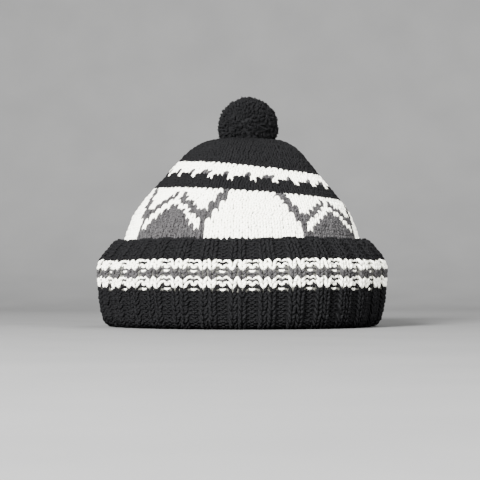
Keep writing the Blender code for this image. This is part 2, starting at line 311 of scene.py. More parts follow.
# The knitting, made from the top down. The numbers of the crown's rows rise from the cuff's
# height, and the rib's from the cuff's edge, down the turned-up layer and up inside.
CROWN_ROW = 3.5 * MM
CROWN_GAUGE = 4.05 * MM
CROWN_SECTIONS = 8
CHART_STITCHES = 128
CHART_REPEAT = 32
CHART_TURN = math.radians(-85.5)
CHART_MIDDLE = 0.5
HIDDEN_ROWS = 2
INNER_RIB_TOP = 1.13
RIB_ROW = 3.15 * MM
EDGE_ROOM = 1.1 * MM
KNIT_SHIFT = 0.152
KNIT_WIDTH = 0.31
PURL_SHIFT = 0.113
PURL_WIDTH = 0.215
PURL_HEAD = {"rows": 0.38, "rise": 0.5}
PURL_SINKER = {"rows": 1.15, "rise": -0.42}
INNER_ARC = {"half_width": 0.62, "rise": 0.55}

# Yarn: half its width where it shows, the most of its stitch's width that this may be, and
# how far its middle lies below the fabric's face.
YARN = 1.12 * MM
PURL_YARN = 0.86 * MM
INNER_YARN = 1.2 * MM
PURL_SINK = 1.15 * MM
INNER_SINK = 0.9 * MM
YARN_FLATNESS = 0.9
YARN_SHARE = {OUT: 0.275, IN: 0.32}
CROWN_SINK = 0.75 * MM
RIB_SINK = 0.95 * MM
TUBE_TIP = 0.7

# The core behind the stitches: how far it lies below each face, how many rows further from
# the cuff's edge its stripes lie, and its one tone, kept low as painted shade, where each strand has its
# own.
CORE_INSET = {OUT: 1.15 * MM, IN: 1.6 * MM}
TUCKED_ROWS = 0.9
CORE_SHADE_TONE = 0.2

# A leg of a knit stitch, from its open end to the V's point: the rows it spans, how far it
# lies from its column's middle, how deep its two ends dive, and how unevenly it is made.
LEG = {"first_row": 0.30, "rows": 1.48, "point": 0.085, "spread": 0.335, "taper": 0.42}
LEG_DEPTH = {"open_end": 0.85 * MM, "point": 0.6 * MM, "belly": 0.12 * MM}
LEG_WOBBLE = {"across": 0.045, "rows": 0.08, "lift": 0.16 * MM, "size": 0.09}

# An arc of yarn across a purl stitch, in the same way.
ARC = {"dive": 0.9 * MM, "taper": 0.35, "roundness": 2.2}
ARC_WOBBLE = {"across": 0.04, "rows": 0.05, "lift": 0.08 * MM}

# The loops of the chain along the cuff's edge: in stitches along it, and across it.
EDGE_LOOP = {"from": -0.25, "stitches": 1.45, "apart": 0.25 * MM, "swing": 0.95 * MM}
EDGE_LOOP_RISE = {"middle": 0.35 * MM, "wobble": 0.1 * MM, "below": 0.25 * MM}
EDGE_LOOP_TAPER = 0.3

# Colours of the rib's rows below the six black ones at the cuff's edge.
STRIPES = {6: "white", 7: "white", 8: "grey", 9: "grey", 10: "white", 11: "white"}

# The crown's chart, in stitches from the middle of a white panel and rows above the cuff.
PANEL = {"half": 8.5, "top_half": 4.6, "narrows_from": 3, "narrows_to": 10}
STEM = {"width": 1.0, "top": 3}
INNER_ARM = 2.0
OUTER_ARM = {"from": (9.0, 4.0), "to": (15.5, 8.8), "rows": 2.0}
PEAK = {"from": (10.0, 1.9), "to": (16.0, 7.0)}
BLACK_ROWS = (11, 12, 13)
TEETH_ROW = 14
TOP_ROWS = (15, 16, 17)
TEETH = 24
TOOTH_SHARE = 0.3


# The corners of a quad in the order that turns it over.
TURNED_OVER = [0, 3, 2, 1]


def grid_quads(rows, columns, quad_rows, quad_columns):
    """Quads between a grid's points. With as many quads as points, it closes round."""
    r, c = np.divmod(np.arange(quad_rows * quad_columns), quad_columns)
    here, above, following = r * columns, (r + 1) % rows * columns, (c + 1) % columns
    return np.stack([here + c, here + following, above + following, above + c], 1)


def new_object(name, data):
    made = bpy.data.objects.new(name, data)
    bpy.context.scene.collection.objects.link(made)
    return made


def mesh_object(name, verts, faces, uvs, paints, slots=None, tones=0.0):
    """An object from arrays: faces and uvs have an array for each size of face, and tones is one
    number, or four for each point."""
    mesh = bpy.data.meshes.new(name)
    mesh.vertices.add(len(verts))
    mesh.vertices.foreach_set("co", verts.astype(np.float32).ravel())
    totals = np.concatenate([np.full(len(f), f.shape[1]) for f in faces]).astype(np.int32)
    corners = np.concatenate([f.ravel() for f in faces]).astype(np.int32)
    mesh.loops.add(len(corners))
    mesh.loops.foreach_set("vertex_index", corners)
    mesh.polygons.add(len(totals))
    mesh.polygons.foreach_set("loop_start", (np.cumsum(totals) - totals).astype(np.int32))
    mesh.polygons.foreach_set("loop_total", totals)
    if slots is not None:
        mesh.polygons.foreach_set("material_index", slots.astype(np.int32))
    mesh.update(calc_edges=True)
    layer = mesh.uv_layers.new(name="yarn")
    flat = np.concatenate([u.reshape(-1, 2) for u in uvs])
    layer.data.foreach_set("uv", flat.astype(np.float32).ravel())
    shades = mesh.attributes.new("tone", "FLOAT_COLOR", "POINT")
    tones = np.broadcast_to(np.asarray(tones, np.float32), (len(verts), 4))
    shades.data.foreach_set("color", tones.ravel())
    mesh.shade_smooth()
    for paint in paints:
        mesh.materials.append(paint)
    return new_object(name, mesh)


def strands(name, batches, paints, floor=None):
    """Closed tubes of yarn as one piece. A batch has paths, normals, widths and
    heights (an array of points for each strand), the tube's sides, and its paint's index."""
    verts, tones, start = [], [], 0
    faces, uvs, slots = ([[], []] for _ in range(3))
    for batch in batches:
        points = tube_points(batch)
        count, per = points.shape[:2]
        offset = start + np.arange(count)[:, None, None] * per
        verts.append(points.reshape(-1, 3))
        for kind, (face, uv) in enumerate(tube_faces(batch, per)):
            faces[kind].append((offset + face).reshape(-1, face.shape[1]))
            uvs[kind].append(uv.reshape(-1, 2))
            slots[kind].append(np.full(count * len(face), batch.get("paint", 0)))
        tone = np.ones((count, per, 4))
        tone[..., :3] = rng.uniform(0, 1, (count, 1, 3))
        tones.append(tone.reshape(-1, 4))
        start += count * per
    verts, tones = np.concatenate(verts), np.concatenate(tones)
    if floor is not None:
        verts[:, 2] = np.maximum(verts[:, 2], floor)
    faces, uvs, slots = ([np.concatenate(part) for part in both] for both in (faces, uvs, slots))
    return mesh_object(name, verts, faces, uvs, paints, np.concatenate(slots), tones)


def tube(paths, normals, thick, sides, flatness=1.0):
    """A batch of strands: thick is half their width, and flatness their height as a share of it."""
    widths = np.broadcast_to(thick, paths.shape[:2])
    heights = widths * flatness
    return {"paths": paths, "normals": normals, "widths": widths, "heights": heights, "sides": sides}


def tube_points(batch):
    paths, normals, sides = batch["paths"], batch["normals"], batch["sides"]
    widths, heights = batch["widths"], batch["heights"]
    along = unit(np.gradient(paths, axis=1))
    across = unit(np.cross(along, normals))
    out = np.cross(across, along)
    turn = TAU * (np.arange(sides) + 0.5) / sides
    ring = across[:, :, None] * (widths[..., None] * np.cos(turn))[..., None]
    ring = ring + out[:, :, None] * (heights[..., None] * np.sin(turn))[..., None]
    body = (paths[:, :, None] + ring).reshape(len(paths), -1, 3)
    first = paths[:, :1] - along[:, :1] * heights[:, :1, None] * TUBE_TIP
    last = paths[:, -1:] + along[:, -1:] * heights[:, -1:, None] * TUBE_TIP
    return np.concatenate([body, first, last], 1)


def tube_faces(batch, per):
    """The sides of one tube, and its two tips, each with the yarn coordinates of their corners
    for every tube: millimetres along the strand, and turns about it."""
    paths, sides = batch["paths"], batch["sides"]
    count, steps = paths.shape[:2]
    k, i = np.divmod(np.arange((steps - 1) * sides), sides)
    quads = grid_quads(steps, sides, steps - 1, sides)
    side = np.arange(sides)
    following = (side + 1) % sides
    base = (steps - 1) * sides
    start_cap = np.stack([following, side, np.full(sides, per - 2)], 1)
    end_cap = np.stack([base + side, base + following, np.full(sides, per - 1)], 1)
    lengths = np.linalg.norm(np.diff(paths, axis=1), axis=2)
    along = np.concatenate([np.zeros((count, 1)), np.cumsum(lengths, 1)], 1) / MM
    along = along + rng.uniform(0, 100, (count, 1))
    quad_uv = np.empty((count, len(k), 4, 2))
    for corner, (dk, di) in enumerate(((0, 0), (0, 1), (1, 1), (1, 0))):
        quad_uv[:, :, corner, 0] = along[:, k + dk]
        quad_uv[:, :, corner, 1] = (i + di) / sides
    cap_uv = np.empty((count, 2 * sides, 3, 2))
    cap_uv[:, :sides, :, 0] = along[:, :1, None]
    cap_uv[:, sides:, :, 0] = along[:, -1:, None]
    cap_uv[..., 1] = np.concatenate([side, side])[:, None] / sides
    return (quads, quad_uv), (np.concatenate([start_cap, end_cap]), cap_uv)


def leg_batch(
    fabric, face, centre, width, distance, row, lean_over, relief_of, sink, size, points=5, sides=5
):
    """The two legs of each knit stitch, a V with its point towards the earlier rows.

    centre, width and distance are arrays with one value for each stitch: the angle of its
    column, the column's angular width, and where its row's later side lies on the face.
    lean_over is how far the column's angle moves from that side to one row earlier."""
    t = np.linspace(0, 1, points)[None, None, :]
    hand = np.array([-1.0, 1.0])[None, :, None]
    centre, width, distance, lean_over = (
        np.asarray(a, float)[:, None, None] for a in np.broadcast_arrays(centre, width, distance, lean_over)
    )
    rows = LEG["first_row"] - LEG["rows"] * t
    spread = LEG["point"] + LEG["spread"] * (1 - t)
    wobble = rng.normal(0, 1, (4,) + centre.shape[:1] + (2, 1))
    lean_here = -np.minimum(rows, 0) * lean_over
    theta = centre + lean_here + width * (hand * spread + LEG_WOBBLE["across"] * wobble[0])
    place = distance + row * (rows + LEG_WOBBLE["rows"] * wobble[1])
    buried = LEG_DEPTH["open_end"] * (1 - t) ** 2.2 + LEG_DEPTH["point"] * t**10
    belly = LEG_DEPTH["belly"] * np.sin(math.pi * t)
    lift = -sink - buried + belly + LEG_WOBBLE["lift"] * wobble[2]
    taper = 1 - LEG["taper"] * np.abs(2 * t - 1) ** 3
    thick = size * taper * (1 + LEG_WOBBLE["size"] * wobble[3])
    full = (len(centre), 2, points)
    theta, place, lift, thick = (
        np.broadcast_to(a, full).reshape(-1, points) for a in (theta, place, lift, thick)
    )
    paths, normals = fabric.paths(face, theta, place, lift, relief_of(theta))
    return tube(paths, normals, thick, sides, YARN_FLATNESS)


def arc_batch(
    fabric, face, centre, half_width, distance, row, rise, relief_of, sink, size, points=5, sides=5
):
    """Arcs of yarn across a purl stitch, bulging by rise rows towards the later rows."""
    t = np.linspace(-1, 1, points)[None, :]
    centre, half_width, distance = (
        np.asarray(a, float)[:, None] for a in np.broadcast_arrays(centre, half_width, distance)
    )
    wobble = rng.normal(0, 1, (3, len(centre), 1))
    theta = centre + half_width * (t + ARC_WOBBLE["across"] * wobble[0])
    bulge = rise * (1 - np.abs(t) ** ARC["roundness"])
    place = distance + row * (bulge + ARC_WOBBLE["rows"] * wobble[1])
    lift = -sink - ARC["dive"] * np.abs(t) ** 3 + ARC_WOBBLE["lift"] * wobble[2]
    paths, normals = fabric.paths(face, theta, place, lift, relief_of(theta))
    thick = size * (1 - ARC["taper"] * np.abs(t) ** 3)
    return tube(paths, normals, thick, sides, YARN_FLATNESS)


def plain(theta):
    return np.zeros_like(theta)


def ribbed(theta):
    return rib_height((theta - RIB_TURN) / TAU * RIB_COUNT)


def chart_colour(theta, row):
    """Yarn of a crown stitch, by its angle and its row: black, white or grey."""
    across = (theta - CHART_TURN) / TAU * CHART_STITCHES - CHART_MIDDLE
    u = abs((across + CHART_REPEAT / 2) % CHART_REPEAT - CHART_REPEAT / 2)
    tooth = (theta - CHART_TURN) / TAU * TEETH % 1.0
    if row < 0 or row in BLACK_ROWS or row > TOP_ROWS[-1]:
        return "black"
    if row == TEETH_ROW:
        return "white" if tooth < TOOTH_SHARE else "black"
    if row in TOP_ROWS:
        gap = row == TOP_ROWS[0] and tooth > 1 - TOOTH_SHARE
        return "grey" if gap else "white"
    narrowing = PANEL["narrows_to"] - PANEL["narrows_from"]
    narrowed = np.clip((row - PANEL["narrows_from"]) / narrowing, 0, 1)
    half = PANEL["half"] + (PANEL["top_half"] - PANEL["half"]) * narrowed
    if u < half:
        return "white"
    if u < half + (STEM["width"] if row <= STEM["top"] else INNER_ARM):
        return "grey"
    on_arm = abs(row - line_row(OUTER_ARM, u)) <= OUTER_ARM["rows"] / 2
    if OUTER_ARM["from"][0] <= u <= OUTER_ARM["to"][0] and on_arm:
        return "grey"
    return "grey" if row < line_row(PEAK, u) else "white"


def line_row(line, u):
    (u0, row0), (u1, row1) = line["from"], line["to"]
    return row0 + (row1 - row0) * (u - u0) / (u1 - u0)


def crown_rows(fabric):
    """Rows of the crown: for each its distance along the outside, and its stitches in a section."""
    base = fabric.distance(OUT, CUFF_HEIGHT, True)
    rows, stitches = [], CHART_STITCHES // CROWN_SECTIONS
    for number in range(-HIDDEN_ROWS, math.ceil(base / CROWN_ROW)):
        distance = base - number * CROWN_ROW
        radius = np.interp(distance, fabric.along[OUT], fabric.radius)
        girth = TAU * radius * (1 + DEPTH_RATIO) / 2
        stitches = max(1, min(stitches, round(girth / CROWN_SECTIONS / CROWN_GAUGE)))
        rows.append({"number": number, "distance": distance, "stitches": stitches})
    return rows


def crown_stitches(rows):
    """Every stitch of the crown: its angle, width, distance, lean, row and colour."""
    made = []
    for here, above in zip(rows, rows[1:] + rows[-1:]):
        n, n_above = here["stitches"], above["stitches"]
        width = TAU / CROWN_SECTIONS / n
        for section in range(CROWN_SECTIONS):
            for i in range(n):
                k = min(i, n_above - 1)
                angle, angle_above = (
                    CHART_TURN + TAU / CROWN_SECTIONS * (section - 0.5 + share)
                    for share in ((i + 0.5) / n, (k + 0.5) / n_above)
                )
                colour = chart_colour((angle + angle_above) / 2, here["number"])
                made.append((angle, width, here["distance"], angle_above - angle, colour))
    return made


def make_crown(fabric, yarns):
    """The crown's outside, a piece for each colour of yarn."""
    stitches = crown_stitches(crown_rows(fabric))
    made = []
    for colour, yarn in yarns.items():
        mine = [s for s in stitches if s[4] == colour]
        centre, width, distance, lean_over = (np.array([s[k] for s in mine]) for k in range(4))
        radius = np.interp(distance, fabric.along[OUT], fabric.radius)
        size = np.minimum(YARN, YARN_SHARE[OUT] * width * radius)[:, None, None]
        batch = leg_batch(
            fabric, OUT, centre, width, distance, CROWN_ROW, lean_over, plain, CROWN_SINK, size
        )
        made.append(strands(f"crown_{colour}_yarn", [batch], [yarn]))
    return made


def rib_batches(fabric, number, points, sides):
    """One row of the rib: knit stitches, and the bumps of the purl stitches between them."""
    last = fabric.along[IN][-1] - EDGE_ROOM - number * RIB_ROW
    ribs = RIB_TURN + TAU * np.arange(RIB_COUNT) / RIB_COUNT
    period = TAU / RIB_COUNT
    knit = np.concatenate([ribs - KNIT_SHIFT * period, ribs + KNIT_SHIFT * period])
    purl = np.concatenate([ribs + (0.5 - PURL_SHIFT) * period, ribs + (0.5 + PURL_SHIFT) * period])
    between = ribs + 0.5 * period
    level = {"points": points, "sides": sides}
    legs = leg_batch(
        fabric, IN, knit, KNIT_WIDTH * period, last, RIB_ROW, 0.0, ribbed, RIB_SINK, YARN, **level
    )
    heads, sinkers = (
        arc_batch(
            fabric, IN, centre, half_width * period, last - arc["rows"] * RIB_ROW, RIB_ROW,
            arc["rise"], ribbed, PURL_SINK, PURL_YARN, **level
        )
        for centre, half_width, arc in (
            (purl, PURL_WIDTH / 2, PURL_HEAD),
            (between, PURL_SHIFT, PURL_SINKER),
        )
    )
    return [legs, heads, sinkers]


def make_rib(fabric, yarns):
    """The rib, in pieces: each colour of the turned-up layer, and the fold with the inside."""
    inside_top = fabric.distance(IN, INNER_RIB_TOP * CUFF_HEIGHT, True)
    fold_start = fabric.distance(IN, 2 * FOLD_BEND, False)
    paints = {f"cuff_{colour}_yarn": yarn for colour, yarn in yarns.items()}
    paints["inner_rib_yarn"] = yarns["black"]
    groups = {name: [] for name in paints}
    last = fabric.along[IN][-1] - EDGE_ROOM
    for number in range(math.ceil((last - inside_top) / RIB_ROW)):
        on_cuff = last - number * RIB_ROW > fold_start
        colour = STRIPES.get(number, "black")
        name = f"cuff_{colour}_yarn" if on_cuff else "inner_rib_yarn"
        points, sides = (5, 5) if on_cuff else (4, 3)
        groups[name] += rib_batches(fabric, number, points, sides)
    groups["cuff_black_yarn"] += edge_batches(fabric)
    return [strands(name, groups[name], [paint], floor=0.0) for name, paint in paints.items()]


def edge_batches(fabric):
    """The cuff's edge: a chain of loops, one for each stitch, along the turned-up layer's top."""
    count = CHART_STITCHES
    step = TAU / count
    centre = RIB_TURN + step * (np.arange(count) + 0.5)
    t = np.linspace(0, 1, 6)[None, :]
    made = []
    for hand in (-1.0, 1.0):
        theta = centre[:, None] + step * (EDGE_LOOP["from"] + EDGE_LOOP["stitches"] * t)
        swing = EDGE_LOOP["swing"] * np.sin(math.pi * np.minimum(t * 1.15, 1.0))
        across = hand * (EDGE_LOOP["apart"] + swing)
        lift = -RIB_WALL / 2 * EDGE_BLUNTNESS + across
        end = fabric.along[IN][-1]
        relief = ribbed(theta)
        paths, normals = fabric.paths(IN, theta, end - EDGE_LOOP_RISE["below"], lift, relief)
        top, below = (fabric.point(IN, theta, end - down, lift, relief) for down in (0.0, 1.0 * MM))
        wobble = EDGE_LOOP_RISE["wobble"] * rng.normal(0, 1, (count, 1))
        rise = EDGE_LOOP_RISE["middle"] * np.sin(math.pi * t) + wobble
        paths = paths + unit(top - below) * rise[..., None]
        thick = YARN * (1 - EDGE_LOOP_TAPER * np.abs(2 * t - 1) ** 3)
        made.append(tube(paths, normals, thick, 5))
    return made


def make_inner_crown(fabric, yarns):
    """The crown's inside, with the bumps of its purl side."""
    turned = {colour: [] for colour in yarns}
    for angle, width, distance, _, colour in crown_stitches(crown_rows(fabric)[2 * HIDDEN_ROWS :]):
        turned[colour].append((angle, width, distance))
    batches = []
    for index, colour in enumerate(yarns):
        angle, width, distance = (np.array(column) for column in zip(*turned[colour]))
        place = np.interp(distance, fabric.along[OUT], fabric.along[IN])
        radius = np.interp(distance, fabric.along[OUT], fabric.radius)
        size = np.minimum(INNER_YARN, YARN_SHARE[IN] * width * radius)[:, None]
        batch = arc_batch(
            fabric, IN, angle, INNER_ARC["half_width"] * width, place, CROWN_ROW, INNER_ARC["rise"],
            plain, INNER_SINK, size, points=4, sides=3
        )
        batch["paint"] = index
        batches.append(batch)
    return strands("inner_crown_yarn", batches, list(yarns.values()))


def make_core(fabric, yarns):
    """The body of the knitting behind the stitches that show: one closed shell, in their colours with
    painted shade and light.
    """
    columns = 8 * RIB_COUNT
    theta = RIB_TURN + TAU * np.arange(columns) / columns
    rings, labels = [], []
    for side in (OUT, IN):
        total = fabric.along[side][-1]
        places = np.linspace(0, total, round(total / CROWN_ROW) + 1)
        if side == IN:
            places = places[::-1]
        relief = ribbed(theta) if side == IN else plain(theta)
        for place in places:
            rings.append(fabric.paths(side, theta, place, -CORE_INSET[side], relief)[0])
            labels.append((side, place))
    verts = np.concatenate(rings)
    quads = grid_quads(len(rings), columns, len(rings), columns)
    names = list(yarns)
    slots = np.zeros((len(rings), columns))
    base = {side: fabric.distance(side, CUFF_HEIGHT, True) for side in (OUT, IN)}
    edge = fabric.along[IN][-1] - EDGE_ROOM
    for index, (side, place) in enumerate(labels):
        if place < base[side]:
            row = int((base[side] - place) / base[side] * base[OUT] // CROWN_ROW)
            slots[index] = [names.index(chart_colour(angle, row)) for angle in theta]
        elif side == IN:
            row = math.floor((edge - place) / RIB_ROW - TUCKED_ROWS)
            slots[index] = names.index(STRIPES.get(row, "black"))
    uvs = np.stack([verts[quads][..., 0], verts[quads][..., 2]], -1) / MM
    paints = list(yarns.values())
    return mesh_object("knit_core", verts, [quads], [uvs], paints, slots.ravel(), CORE_SHADE_TONE)


# The pompom: cut ends of yarn that stand out of a dark ball, flat where it sits.
POMPOM_TUFTS = 2000
POMPOM_INNER = 0.80
POMPOM_CORE = 0.92
# The low tone of the pompom's inner ball: painted shade deep among the tufts.
POMPOM_CORE_SHADE_TONE = 0.1
TUFT_PLIES = 3
TUFT_RADIUS = 0.44 * MM
TUFT_SPREAD = 0.6 * MM
TUFT_BEND = 0.9 * MM
TUFT_FLARE = {"root": 0.75, "more": 0.35}
TUFT_UNEVEN = {"direction": 0.035, "length": 0.012, "thickness": 0.15}
SEAT_GAP = 0.3 * MM

# The tie: strands twisted together through the crown's hole, and the knot inside.
TIE_STRANDS = 4
TIE_TURNS = 0.8
TIE_YARN = 1.35 * MM
TIE_POST_RADIUS = 1.7 * MM
TIE_POST_END = 3.0 * MM
KNOT_LOOPS = 2
KNOT_LOOP = {"turns": 1.04, "shift": 0.3, "inset": 0.35 * MM, "gap": 0.2 * MM, "drop": 2.1 * MM}
KNOT_SWING = {"out": 0.3 * MM, "down": 0.7 * MM}
KNOT_BAR = {"slant": 0.7, "rise": 1.6 * MM}

# The label, sewn inside at the back, as the solid has it.
LABEL_WIDTH = 31.0 * MM
LABEL_HEIGHT = 14.5 * MM
LABEL_THICKNESS = 1.0 * MM
LABEL_MIDDLE_HEIGHT = 44.5 * MM
LABEL_SHIFT = 7.5 * MM
LABEL_GAP = 0.4 * MM
LABEL_DROOP = 1.5 * MM
LABEL_CURL = 2.5 * MM

# Its hems, its ripple, its layers in shares of its thickness, and its stitches.
LABEL_HEM = 1.6 * MM
HEM_EDGE = 0.35 * MM
LABEL_ROUNDING = 0.5 * MM
LABEL_RIPPLE = {"height": 0.12 * MM, "across": 5.0, "up": 2.0}
LABEL_BACK = 0.1 * MM
LABEL_LAYERS = {"edge": 0.3, "single": 0.55, "hem": 0.35, "stitch": 0.95}
STITCH_PITCH = 2.1 * MM
STITCH_SHARE = 0.36
STITCH_PLACE = 0.55
STITCH_DIVE = 0.5 * MM
LABEL_THREAD = 0.26 * MM


def pompom_frame():
    """The pompom's middle and radius, from its solid."""
    lo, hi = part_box("pompom")
    radius = (hi.x - lo.x) / 2
    return np.array([(lo.x + hi.x) / 2, (lo.y + hi.y) / 2, hi.z - radius]), radius, lo.z


def make_pompom(paint):
    """Cut plies that fan out at the end of each tuft."""
    middle, radius, seat = pompom_frame()
    number = np.arange(POMPOM_TUFTS) + 0.5
    height = 1 - 2 * number / POMPOM_TUFTS
    turn = math.pi * (1 + math.sqrt(5)) * number
    flat = np.sqrt(1 - height**2)
    out = stacked(flat * np.cos(turn), flat * np.sin(turn), height)
    out = unit(out + rng.normal(0, TUFT_UNEVEN["direction"], out.shape))
    plies, points = TUFT_PLIES, 3
    side = unit(np.cross(out, rng.normal(0, 1, out.shape)))
    other = np.cross(out, side)
    fan = TAU * (np.arange(plies)[None, :] / plies + rng.uniform(0, 1, (POMPOM_TUFTS, 1)))
    away = side[:, None] * np.cos(fan)[..., None] + other[:, None] * np.sin(fan)[..., None]
    t = np.linspace(0, 1, points)
    reach = radius * (1.0 + rng.normal(0, TUFT_UNEVEN["length"], (POMPOM_TUFTS, plies, 1)))
    along = radius * POMPOM_INNER + (reach - radius * POMPOM_INNER) * t
    bend = unit(rng.normal(0, 1, (POMPOM_TUFTS, 1, 1, 3))) * (TUFT_BEND * t**2)[None, None, :, None]
    fanned = away[:, :, None] * (TUFT_SPREAD * t**1.5)[:, None]
    paths = out[:, None, None] * along[..., None] + fanned + bend
    paths = paths.reshape(-1, points, 3) + middle
    normals = np.broadcast_to(np.repeat(side, plies, 0)[:, None], paths.shape)
    uneven = TUFT_UNEVEN["thickness"]
    flare = TUFT_FLARE["root"] + TUFT_FLARE["more"] * t
    thick = TUFT_RADIUS * flare * rng.uniform(1 - uneven, 1 + uneven, (len(paths), 1))
    return strands("pompom_tufts", [tube(paths, normals, thick, 3)], [paint], floor=seat)


def make_pompom_core(paint):
    """The dense inside of the pompom, with one flat side, painted darker by a low tone as shade."""
    middle, radius, seat = pompom_frame()
    rows, columns = 24, 40
    tilt = math.pi * (np.arange(rows)[:, None] + 0.5) / rows
    turn = TAU * np.arange(columns) / columns
    size = radius * POMPOM_CORE
    rings = stacked(np.sin(tilt) * np.cos(turn), np.sin(tilt) * np.sin(turn), np.cos(tilt))
    verts = (rings * size + middle).reshape(-1, 3)
    verts = np.concatenate([verts, [middle + [0, 0, size], middle - [0, 0, size]]])
    verts[:, 2] = np.maximum(verts[:, 2], seat)
    quads = grid_quads(rows, columns, rows - 1, columns)[:, TURNED_OVER]
    c = np.arange(columns)
    d = (c + 1) % columns
    last = (rows - 1) * columns
    top, bottom = len(verts) - 2, len(verts) - 1
    caps = ([np.full(columns, top), c, d], [np.full(columns, bottom), last + d, last + c])
    tips = np.concatenate([np.stack(cap, 1) for cap in caps])
    uvs = [verts[f][..., :2] / MM for f in (quads, tips)]
    return mesh_object("pompom_core", verts, [quads, tips], uvs, [paint], tones=POMPOM_CORE_SHADE_TONE)


def make_tie(paint):
    """The tie through the hole, and its knot under the crown."""
    lo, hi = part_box("pompom_tie")
    middle = (lo + hi) / 2
    knot_radius = (hi.x - lo.x) / 2
    inside = CROWN_HEIGHT - CROWN_WALL - SEAT_GAP
    size = TIE_YARN
    t = np.linspace(0, 1, 16)[None]
    strand = TAU * np.arange(TIE_STRANDS)[:, None] / TIE_STRANDS
    turn = strand + TAU * TIE_TURNS * t
    post = stacked(
        middle.x + TIE_POST_RADIUS * np.cos(turn),
        middle.y + TIE_POST_RADIUS * np.sin(turn),
        hi.z - size + (inside - TIE_POST_END - hi.z) * t,
    )
    batches = [tube(post, stacked(np.cos(turn), np.sin(turn), 0.0), size, 6)]
    s = np.linspace(0, 1, 30)
    loop = np.arange(KNOT_LOOPS)[:, None]
    turn = TAU * (KNOT_LOOP["turns"] * s + KNOT_LOOP["shift"] * loop)
    radius = knot_radius - size - KNOT_LOOP["inset"] + KNOT_SWING["out"] * np.sin(2 * turn + loop)
    wave = KNOT_SWING["down"] * np.sin(turn + 2 * loop) * (1 - loop)
    height = inside - size - KNOT_LOOP["gap"] - KNOT_LOOP["drop"] * loop + wave
    knot = stacked(middle.x + radius * np.cos(turn), middle.y + radius * np.sin(turn), height)
    batches.append(tube(knot, stacked(np.cos(turn), np.sin(turn), 0.0), size, 6))
    over = np.linspace(-1, 1, 14)[None]
    span = (knot_radius - 2 * size) * over
    height = lo.z + size + KNOT_BAR["rise"] * over**2
    across = stacked(middle.x + KNOT_BAR["slant"] * span, middle.y + span, height)
    batches.append(tube(across, stacked(0.0, 0.0, -1.0 + 0 * over), size, 6))
    return strands("tie_yarn_knot", batches, [paint])


def label_point(fabric, across, up, depth):
    """A point of the label: shares of its half width and half height, and a depth into the hat."""
    height = LABEL_MIDDLE_HEIGHT + up * LABEL_HEIGHT / 2 - LABEL_DROOP * smoothstep(across)
    wall = fabric.dome_radius(height) - wall_at(height) / 2 - RIB_RELIEF / 2
    curl = LABEL_CURL * smoothstep(across) * smoothstep(-up)
    radius = wall - LABEL_GAP - curl - depth
    x = LABEL_SHIFT + across * LABEL_WIDTH / 2
    return stacked(x, DEPTH_RATIO * np.sqrt(radius**2 - x**2), height)


def make_label(fabric, paint, thread):
    """A bare woven label with turned hems, and the stitches along its two ends."""
    columns, rows = 48, 22
    a, u = np.meshgrid(np.linspace(-1, 1, columns), np.linspace(-1, 1, rows), indexing="ij")
    hem = np.minimum(1 - np.abs(a), 1.0) * LABEL_WIDTH / 2
    folded = 1 - smoothstep((hem - LABEL_HEM) / HEM_EDGE)
    waves = LABEL_RIPPLE["across"] * a + LABEL_RIPPLE["up"] * u
    ripple = LABEL_RIPPLE["height"] * np.sin(waves) * (1 - folded)
    front = LABEL_THICKNESS * (LABEL_LAYERS["single"] + LABEL_LAYERS["hem"] * folded) + ripple
    from_edge = np.minimum(hem, (1 - np.abs(u)) * LABEL_HEIGHT / 2)
    edge = LABEL_THICKNESS * LABEL_LAYERS["edge"]
    front = edge + (front - edge) * smoothstep(from_edge / LABEL_ROUNDING)
    face = label_point(fabric, a, u, front)
    back = label_point(fabric, a, u, LABEL_BACK)
    verts = np.concatenate([face.reshape(-1, 3), back.reshape(-1, 3)])
    quad = grid_quads(columns, rows, columns - 1, rows - 1)
    half = columns * rows
    number = np.arange(half).reshape(columns, rows)
    rim = np.concatenate([number[:, 0], number[-1, 1:], number[-2::-1, -1], number[0, -2:0:-1]])
    following = np.roll(rim, -1)
    wall = np.stack([rim, following, following + half, rim + half], 1)
    quads = np.concatenate([quad, quad[:, ::-1] + half, wall])
    grid = np.stack([a * LABEL_WIDTH / 2, u * LABEL_HEIGHT / 2], -1).reshape(-1, 2) / MM
    uvs = np.concatenate([grid, grid])[quads]
    cloth = mesh_object("label_tape", verts, [quads], [uvs], [paint])
    count = round(LABEL_HEIGHT / STITCH_PITCH) - 1
    at = np.linspace(-1, 1, count + 2)[1:-1]
    t = np.linspace(-1, 1, 5)
    batches = []
    for hand in (-1.0, 1.0):
        up = at[:, None] + t[None, :] * STITCH_SHARE * 2 / (count + 1)
        across = hand * (1 - STITCH_PLACE * LABEL_HEM / (LABEL_WIDTH / 2))
        depth = LABEL_THICKNESS * LABEL_LAYERS["stitch"] - STITCH_DIVE * np.abs(t[None, :]) ** 3
        paths = label_point(fabric, across, up, depth)
        normals = unit(label_point(fabric, across, up, depth + 0.5 * MM) - paths)
        batches.append(tube(paths, normals, LABEL_THREAD, 5))
    return [cloth, strands("label_stitches", batches, [thread])]


# Finishes: two shades of each yarn, how strongly its fibres mix, and its soft sheen.
YARNS = {
    "black": {
        "dark": (0.0024, 0.0024, 0.0026), "light": (0.006, 0.006, 0.0063), "heather": 0.5, "sheen": 0.0
    },
    "white": {"dark": (0.72, 0.71, 0.60), "light": (0.95, 0.945, 0.85), "heather": 0.5, "sheen": 0.1},
    "grey": {
        "dark": (0.0055, 0.0052, 0.0056), "light": (0.042, 0.0405, 0.041), "heather": 1.0, "sheen": 0.03
    },
}
PILE = {"dark": (0.003, 0.003, 0.0032), "light": (0.008, 0.008, 0.0084), "heather": 0.5, "sheen": 0.0}
WOOL_ROUGHNESS = 0.9
SHEEN_ROUGHNESS = 0.6
SPECULAR = 0.02

# The backing behind the stitches, as shares of its yarn's shades: painted shade darkens the white and grey
# in the gaps, and painted light lifts the black there.
PAINTED_BACKING_SHARE = {"black": 1.3, "white": 0.12, "grey": 0.6}
